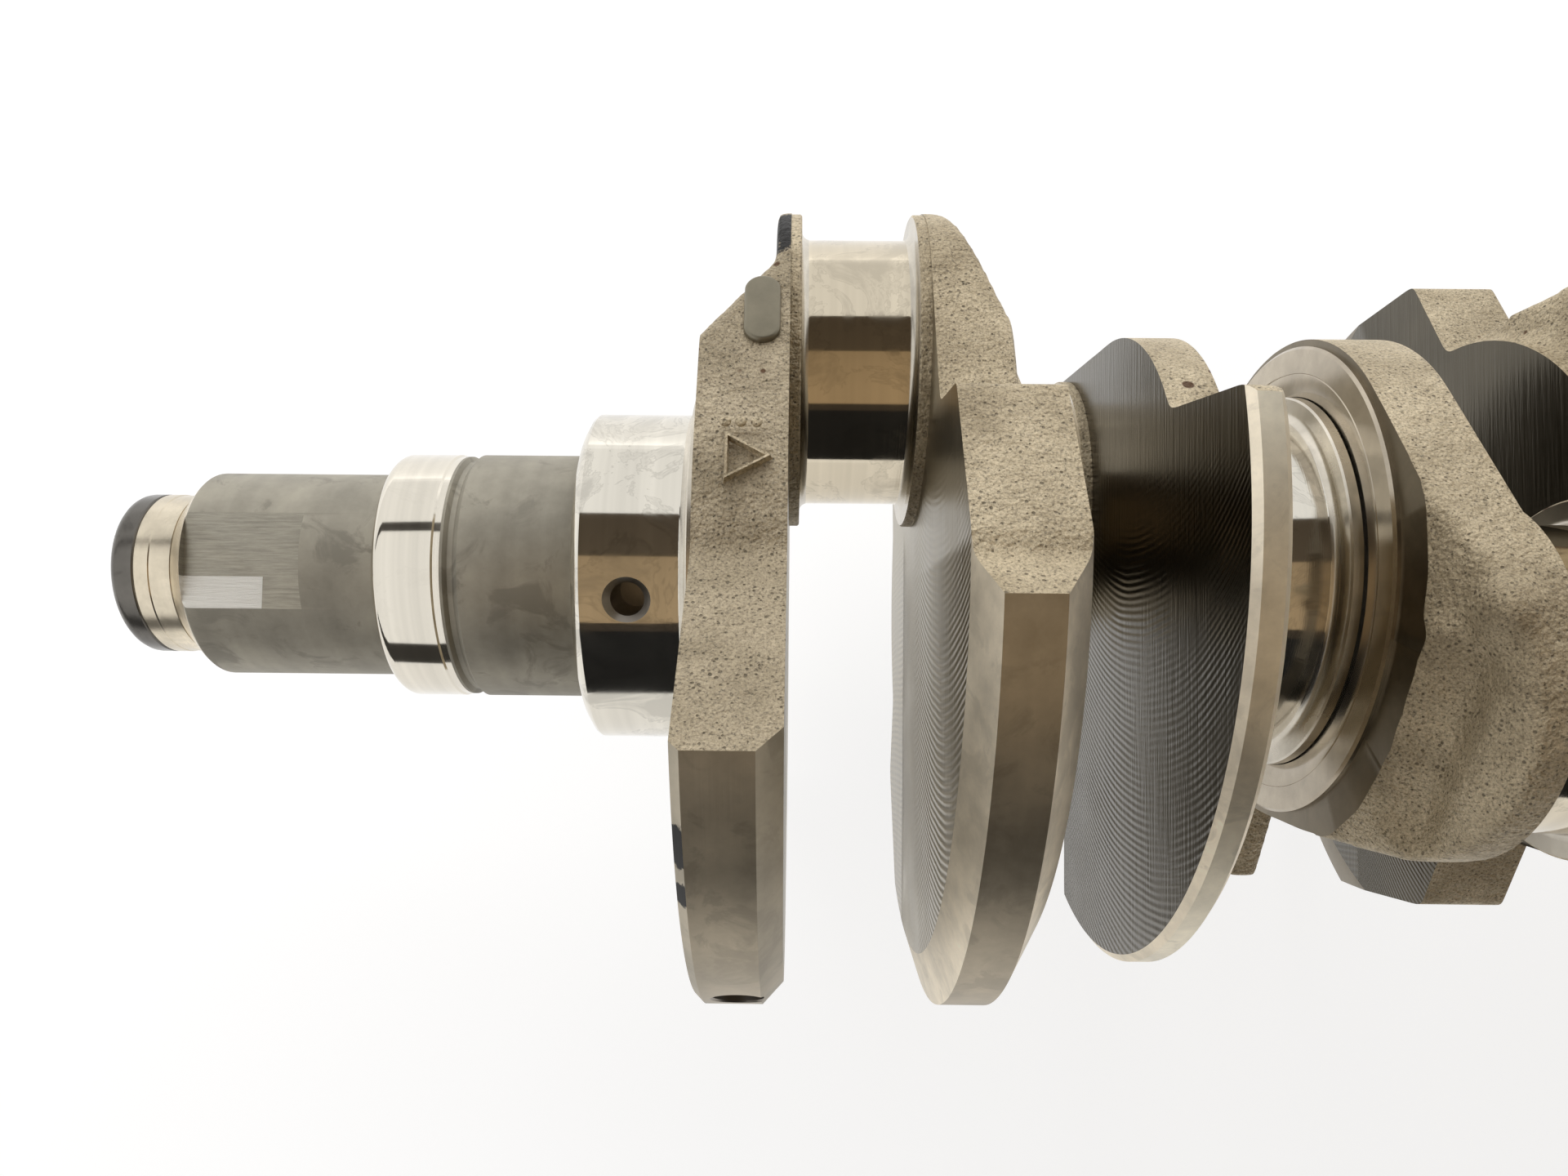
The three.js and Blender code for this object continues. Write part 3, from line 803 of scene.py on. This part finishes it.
def shapeSkin(bm, moves):
    # ridges in the forging, and soft hollows where the depth is below zero
    for move in moves:
        centre = Vector(move["centre"])
        heading = Vector(move["heading"]).normalized()
        for vert in bm.verts:
            offset = vert.co - centre
            away = Vector(part / reach for part, reach in zip(offset, move["reach"])).length
            if away < 1:
                vert.co += heading * move["depth"] * (1 - away * away) ** 2


def turnedEnvelope(start, end, web):
    # what the lathe and the mill leave of a forging; a shoulder is a rim narrower than its web
    weight = web["weight"]
    radius, drop = web.get("envelope", weight["radius"]), weight["drop"]
    low = start + web.get("leftShoulder", 0)
    high = end - web.get("rightShoulder", 0)
    profile = [(0, start)]
    if low > start:
        profile.append((radius - drop[0], start))
    profile += [(radius - drop[0], low), (radius, low + weight["leftRun"]),
                (radius, high - weight["rightRun"]), (radius - drop[1], high)]
    if high < end:
        profile.append((radius - drop[1], end))
    profile.append((0, end))

    def pick(place, away):
        if place < start + 0.01:
            return 0
        if place > end - 0.01:
            return 1
        if "envelope" in web:
            return 4
        if low + weight["leftRun"] - 0.01 < place < high - weight["rightRun"] + 0.01:
            return 2
        return 3

    sides = [web.get("leftFace", "milled"), "milled", web.get("rim", "rim"), web.get("chamfer", "chamfer"),
             "forged"]
    return spinProfile(profile, forging["rimSteps"], pick), sides


def buildWeb(number, web):
    node = "web_%d" % number
    start, end = station(node), station(node, 1)
    low, high = start - forging["overcut"], end + forging["overcut"]
    pieces = [disc(shaft["hubRadius"], low, high - web.get("hubShort", 0))]
    for arm in web["arms"]:
        armStart = start + arm["from"] if "from" in arm else low
        armEnd = end - arm["short"] if "short" in arm else high
        pieces += armBlank(arm, armStart, armEnd)
    weight = web["weight"]
    weightStart = start + weight["from"] if "from" in weight else low
    weightEnd = end - weight["short"] if "short" in weight else high
    pieces += weightBlank(weight, weightStart, weightEnd)
    blank = forgedBlank(pieces)
    shapeSkin(blank, web.get("moves", ()))
    envelope, names = turnedEnvelope(start, end, web)
    body, materials = cutWith(blank, [web.get("skin", "forged")], envelope, names, "INTERSECT")
    for drill in web.get("drills", ()):
        body, materials = cutWith(body, materials, drill(), ["bore"], "DIFFERENCE")
    finishPiece(body, "web%d" % number, materials, node)


faceA, faceB, faceD, faceE, faceH = (station("web_%d" % number) for number in (1, 2, 4, 5, 8))
endB, endE, endF, endH, endI = (station("web_%d" % number, 1) for number in (2, 5, 6, 8, 9))
inset = 2.5                         # how much shorter an arm is than its web, beside the other pin
rimRadius = 77.4
lobedRadius = 77.15

# the planes that bound a counterweight's sector: angle from its middle, and distance from the axis
fullCuts = {"cuts": [(90, 61.5), (148, 24.0)]}
lobedCuts = {"cuts": [(111, 38.45)], "lobe": 69.0, "lobeCuts": [(90, 57.8), (141.7, 27.9)]}
wideCuts = {"cuts": [(132.4, 31.0)]}
shortCuts = {"cuts": [(90, 61.8), (130, 27.9)]}
smallCuts = {"cuts": [(126.6, 9.9)]}


balanceHole = (4.2, 4.6, 16)        # bore, sink and depth


def innerSlope(face, towards, phase, **extra):
    # an arm between two pins, whose flank slopes from the hub up to the boss
    return {"pin": phase, "foot": (face, 37), "lip": (face + towards * 9.5, 65), **extra}


# the forged flank of the webs beside the middle pins: where it starts from the axis, and its lean
cone = {"away": 49.5, "lean": 24.7}

# the die's marks on the first of them: a ridge over a long hollow
scoops = [
    {"centre": (119.7, -15, 50), "reach": (6, 5, 5), "heading": (-0.8, 0, 0.6), "depth": 0.8},
    {"centre": (123.5, -11.5, 59), "reach": (7, 6, 7), "heading": (-0.8, 0, 0.6), "depth": 2.4},
    *[{"centre": (121.0 + 0.1 * step, -20.5 - 5.2 * step, 52.5 - 3.5 * step), "reach": (9, 7, 7),
       "heading": (-0.9, -0.1, 0.4), "depth": -2.6} for step in range(5)],
]

webs = {
    1: {
        "arms": [{"pin": 0, "foot": (faceA, 35.5), "lip": (faceA + 12, 50.5), "capWedge": True}],
        "weight": {"middle": 180, "radius": rimRadius, **wideCuts, "leftRun": 1.4, "rightRun": 3.5,
                   "drop": (1.4, 3.8)},
        "leftFace": "forgedScaled",
        "skin": "forgedScaled",
        "chamfer": "chamferScaled",
        "drills": [lambda: radialDrill(*balanceHole, rimRadius, faceA + 7.25, 159)],
    },
    2: {
        "arms": [innerSlope(endB - inset, -1, 0, short=inset),
                 innerSlope(faceB + inset, 1, -60, hub=shaft["armHubRadius"], **{"from": inset})],
        "hubShort": 3.0 + inset,
        "weight": {"middle": 150, "radius": lobedRadius, **lobedCuts, "leftRun": 2.75, "rightRun": 5,
                   "drop": (8.5, 8.5)},
    },
    3: {
        "arms": [{"pin": -60}],
        "weight": {"middle": 140, "radius": 69.6, **shortCuts, "leftRun": 1.0, "rightRun": 1.2,
                   "drop": (1.2, 1.5), "short": 3.2},
        "rightShoulder": 3.2,
        # painted shade and painted dark reflection on the left face
        "leftFace": "milledPaintedShade",
        "rim": "rimLight",
    },
    4: {
        "arms": [{"pin": 120, "cone": faceD}],
        "weight": {"middle": -110, "radius": 64.5, "stock": 0, **smallCuts, "leftRun": 0.5,
                   "rightRun": 0.5, "drop": (0.5, 0.5), "from": 0.8, "short": 4.25},
        "moves": scoops,
        # painted shade on the left face
        "leftFace": "turnedShadedSide",
        "envelope": 72,
    },
    5: {
        "arms": [innerSlope(endE - inset, -1, 120, short=inset),
                 innerSlope(faceE + inset, 1, 60, **{"from": inset})],
        "weight": {"middle": -90, "radius": rimRadius, **fullCuts, "leftRun": 2.75, "rightRun": 5,
                   "drop": (8.5, 8.5)},
        # painted shade on the left face
        "leftFace": "milledPaintedShade",
        # painted shade on the chamfer
        "chamfer": "turnedShadedSide",
    },
    6: {
        "arms": [{"pin": 60, "cone": endF}],
        "weight": {"middle": -70, "radius": 64.5, "stock": 0, **smallCuts, "leftRun": 0.5,
                   "rightRun": 0.5, "drop": (0.5, 0.5), "from": 4.25, "short": 0.8},
        "envelope": 72,
    },
    7: {
        "arms": [{"pin": -120}],
        "weight": {"middle": 40, "radius": 69.6, **shortCuts, "leftRun": 1.2, "rightRun": 1.0,
                   "drop": (1.5, 1.2), "from": 3.2},
        "leftShoulder": 3.2,
    },
    8: {
        "arms": [innerSlope(endH - inset, -1, -120, short=inset),
                 innerSlope(faceH + inset, 1, -180, **{"from": inset})],
        "weight": {"middle": 30, "radius": lobedRadius, **lobedCuts, "leftRun": 5, "rightRun": 2.75,
                   "drop": (8.5, 8.5)},
    },
    9: {
        "arms": [{"pin": -180, "foot": (endI, 36.5), "lip": (endI - 12, 51), "capWedge": True}],
        "weight": {"middle": 0, "radius": rimRadius, **wideCuts, "leftRun": 3.5, "rightRun": 1.4,
                   "drop": (3.8, 1.4)},
        "drills": [lambda: radialDrill(*balanceHole, rimRadius, endI - 7.25, 21)],
    },
}
for number, web in webs.items():
    buildWeb(number, web)
    print("web", number, "built")

pad = {
    "radius": 3.0,
    "halfRun": 4.0,
    "rise": 1.1,                    # above the arm's flank
    "sink": 6.0,
    "place": (21.75, 40.0),
}


def buildPads():
    # two pressed pads on the flanks of the first arm, with rounded rims
    lean = math.asin((shaft["hubRadius"] - shaft["bossRadius"]) / shaft["throw"])
    height = shaft["hubRadius"] + pad["rise"]
    along = (pad["place"][1] - height * math.sin(lean)) / math.cos(lean)
    bm = bmesh.new()
    for side in (1, -1):
        half = bmesh.new()
        bmesh.ops.create_circle(half, cap_ends=True, segments=48, radius=pad["radius"])
        for vert in half.verts:
            vert.co.y += pad["halfRun"] if vert.co.y > 0 else -pad["halfRun"]
        top = bmesh.ops.extrude_face_region(half, geom=half.faces[:])
        raised = [item for item in top["geom"] if isinstance(item, bmesh.types.BMVert)]
        bmesh.ops.translate(half, verts=raised, vec=(0, 0, pad["sink"]))
        bmesh.ops.recalc_face_normals(half, faces=half.faces)
        rim = [edge for edge in half.edges if all(vert.co.z > pad["sink"] - 0.01 for vert in edge.verts)]
        bmesh.ops.bevel(half, geom=rim, offset=0.6, segments=4, affect="EDGES", profile=0.5, material=-1)
        shift(half, (pad["place"][0], along, height - pad["sink"]))
        turnAbout(half, -math.degrees(lean))
        if side < 0:
            bmesh.ops.scale(half, vec=(1, 1, -1), verts=half.verts)
            bmesh.ops.reverse_faces(half, faces=half.faces)
        joinInto(bm, half)
    finishPiece(bm, "webPads", ["pad"], None, 40)


mark = {
    "place": 19.0,                  # station along the shaft
    "turn": 74.0,                   # round the shaft from +Y
    "away": 44.9,
    "size": 4.2,
    "rise": 0.6,
}


def buildForgingMark():
    # a plain raised triangle and three raised dots, as a forging die leaves
    bm = bmesh.new()
    border = bmesh.new()
    outline = [(mark["size"] + away, rise) for away, rise in
               ((-0.75, -0.6), (-0.35, mark["rise"]), (0.35, mark["rise"]), (0.75, -0.6))]
    verts = [border.verts.new((away, 0, rise)) for away, rise in outline]
    edges = [border.edges.new((verts[step - 1], verts[step])) for step in range(len(verts))]
    bmesh.ops.spin(border, geom=verts + edges, cent=(0, 0, 0), axis=(0, 0, 1), angle=2 * math.pi, steps=3,
                   use_merge=True)
    bmesh.ops.recalc_face_normals(border, faces=border.faces)
    joinInto(bm, border)
    for step in (-1, 0, 1):
        dot = bmesh.new()
        bmesh.ops.create_uvsphere(dot, u_segments=20, v_segments=12, radius=0.9)
        bmesh.ops.scale(dot, vec=(1, 1, 0.55), verts=dot.verts)
        shift(dot, (2.4 * step, 6.0, 0.1))
        joinInto(bm, dot)
    turnAbout(bm, mark["turn"] - 90)
    turn = math.radians(mark["turn"])
    shift(bm, (mark["place"], mark["away"] * math.cos(turn), mark["away"] * math.sin(turn)))
    finishPiece(bm, "forgingMark", ["forged"], None, 40)


buildPads()
buildForgingMark()
print("details of the first web built")

rear = {
    "flangeRadius": 40.0,
    "collarRadius": 42.0,
    "pilotRadius": 15.0,
    "pilotDepth": 14.0,
    "bushRadius": 14.7,
    "bushBore": 10.7,
    "boltCircle": 32.0,
    "boltRadius": 4.4,
    "boltCount": 8,
    "dowelRadius": 4.0,
}


def axialDrill(radius, sink, start, end, turn):
    # a blind hole along the shaft with a small chamfer at its mouth
    bm = spinProfile([(0, start), (radius * 0.6, start), (radius, start + 1.2), (radius, end - sink),
                      (radius + 2 * sink, end + sink), (0, end + sink)], 32)
    shift(bm, (0, rear["boltCircle"], 0))
    turnAbout(bm, turn)
    return bm


def buildRear():
    start, end = station("rear_seal_collar"), station("rear_seal_collar", 1)
    faceEnd = station("flywheel_flange", 1)
    radius, pilotFoot = rear["collarRadius"], faceEnd - rear["pilotDepth"]
    body = spinProfile([
        (0, start), (radius - 1, start), (radius, start + 1), (radius, end - 1), (radius - 1, end),
        (rear["pilotRadius"], end), (rear["pilotRadius"], pilotFoot), (0, pilotFoot),
    ])
    finishPiece(body, "rearSealCollar", ["seal"], "rear_seal_collar")
    radius = rear["flangeRadius"]
    body = spinProfile([
        (rear["pilotRadius"], end), (radius - 0.6, end), (radius, end + 0.6), (radius, faceEnd - 1.2),
        (radius - 1.2, faceEnd), (rear["pilotRadius"] + 1, faceEnd), (rear["pilotRadius"], faceEnd - 1),
        (rear["pilotRadius"], end),
    ])
    materials = ["flange"]
    for index in range(rear["boltCount"]):
        drill = axialDrill(rear["boltRadius"], 0.6, end + 0.8, faceEnd, 360 * index / rear["boltCount"])
        body, materials = cutWith(body, materials, drill, ["bore"], "DIFFERENCE")
    finishPiece(body, "flywheelFlange", materials, "flywheel_flange")
    low, high = station("flywheel_dowel"), station("flywheel_dowel", 1)
    size = rear["dowelRadius"]
    pin = spinProfile([(0, low), (size, low), (size, high - 1.2),
                       *arcProfile((size - 1.0, high - 1.0), 1.0, 0, 90, 4), (0, high)], 48)
    shift(pin, (0, rear["boltCircle"], 0))
    turnAbout(pin, 180 / rear["boltCount"])
    finishPiece(pin, "flywheelDowel", ["dowel"], "flywheel_dowel")
    low, high = station("pilot_bush"), station("pilot_bush", 1)
    outer, inner = rear["bushRadius"], rear["bushBore"]
    ring = spinProfile([(inner, low), (outer, low), (outer, high - 0.5), (outer - 0.5, high),
                        (inner + 0.7, high), (inner, high - 0.7), (inner, low)])
    finishPiece(ring, "pilotBush", ["bronze"], "pilot_bush")


thrust = {
    "innerRadius": 35.3,
    "line": (38.0, 38.3),           # a fine turned line in the face
    "radius": 42.8,
}


def buildThrust():
    start, end = station("thrust_collar"), station("thrust_collar", 1)
    inner, outer = thrust["innerRadius"], thrust["radius"]
    first, last = thrust["line"]
    profile = [(0, start + 0.2), (inner - 0.4, start + 0.2), (inner, start), (first, start),
               ((first + last) / 2, start + 0.12), (last, start), (outer - 0.5, start),
               (outer, start + 0.4), (outer, end), (0, end)]
    finishPiece(spinProfile(profile), "thrustCollar", ["thrust"], "thrust_collar")


buildRear()
buildThrust()
print("flywheel end and thrust collar built")

floorLevel = cadBounds[0][2] - 0.0002
cardRadius = 0.6


def plainMaterial(name, color, glow=0.0):
    material, tree, shader = newMaterial(name, color, 0.9, 0.0)
    shader.inputs["Emission Color"].default_value = (1, 1, 1, 1)
    shader.inputs["Emission Strength"].default_value = glow
    return material


def buildFloor():
    bm = bmesh.new()
    bmesh.ops.create_grid(bm, x_segments=1, y_segments=1, size=6)
    shift(bm, (0.15, 0, floorLevel))
    floor = toObject(bm, "floor")
    floor.data.materials.append(plainMaterial("Paper floor", (0.25, 0.25, 0.25), 0.80))


def buildCard(name, first, last, left, right, color):
    # a curved card round the shaft that only reflections see; angles from straight up, towards +Y
    bm = bmesh.new()
    turn = math.radians(first)
    across, up = cardRadius * math.sin(turn), cardRadius * math.cos(turn)
    ends = [bm.verts.new((place, across, up)) for place in (left, right)]
    edge = bm.edges.new(ends)
    bmesh.ops.spin(bm, geom=ends + [edge], cent=(0, 0, 0), axis=xAxis,
                   angle=math.radians(first - last), steps=32)
    card = toObject(bm, name)
    card.data.materials.append(plainMaterial(name, color))
    for kind in ("camera", "shadow", "transmission", "volume_scatter"):
        setattr(card, "visible_" + kind, False)


def buildLight(name, place, target, size, power):
    data = bpy.data.lights.new(name, "AREA")
    data.shape = "RECTANGLE"
    data.size, data.size_y = size
    data.energy = power
    light = bpy.data.objects.new(name, data)
    light.location = place
    light.visible_glossy = False
    light.rotation_euler = (Vector(target) - Vector(place)).to_track_quat("-Z", "Y").to_euler()
    bpy.context.collection.objects.link(light)


def buildWorld(strength, color):
    world = bpy.data.worlds.new("Studio")
    bpy.context.scene.world = world
    world.use_nodes = True
    background = world.node_tree.nodes["Background"]
    background.inputs["Color"].default_value = (*color, 1)
    background.inputs["Strength"].default_value = strength


viewpoint = {
    "lens": 25.21,
    "shift": 0.0641,
    "place": (0.0273, -0.02931, 0.20692),
    "turn": (0.0415, 0.0075, 0.0106),
}


def buildCamera():
    data = bpy.data.cameras.new("camera")
    data.lens = viewpoint["lens"]
    data.sensor_width = 36.0
    data.shift_y = viewpoint["shift"]
    data.clip_start = 0.01
    camera = bpy.data.objects.new("camera", data)
    camera.location = viewpoint["place"]
    camera.rotation_euler = viewpoint["turn"]
    bpy.context.collection.objects.link(camera)
    bpy.context.scene.camera = camera


buildFloor()
studioCards = [
    # name, first and last angle, left and right end in metres, colour
    ("Upper card", 6, 35, -0.20, 1.6, (0.075, 0.055, 0.034)),
    ("Warm card", -38, 6, -0.20, 1.6, (0.32, 0.235, 0.14)),
    ("Dim card", -44, -38, -0.20, 1.6, (0.03, 0.022, 0.014)),
    ("Black card", -94, -44, -0.20, 1.6, (0.001, 0.001, 0.001)),
    ("Ceiling edge", 33, 42, -1.6, -0.20, (0.05, 0.045, 0.04)),
    ("Table edge", -98, -74, -1.6, -0.20, (0.02, 0.018, 0.015)),
]
for card in studioCards:
    buildCard(*card)
buildWorld(1.0, (1.0, 1.0, 1.0))
buildLight("windowLight", (0.0, 1.0, 0.35), (0.1, 0, 0), (1.6, 0.8), 14.0)
buildCamera()
bpy.context.scene.view_settings.view_transform = "Standard"
print("studio built")
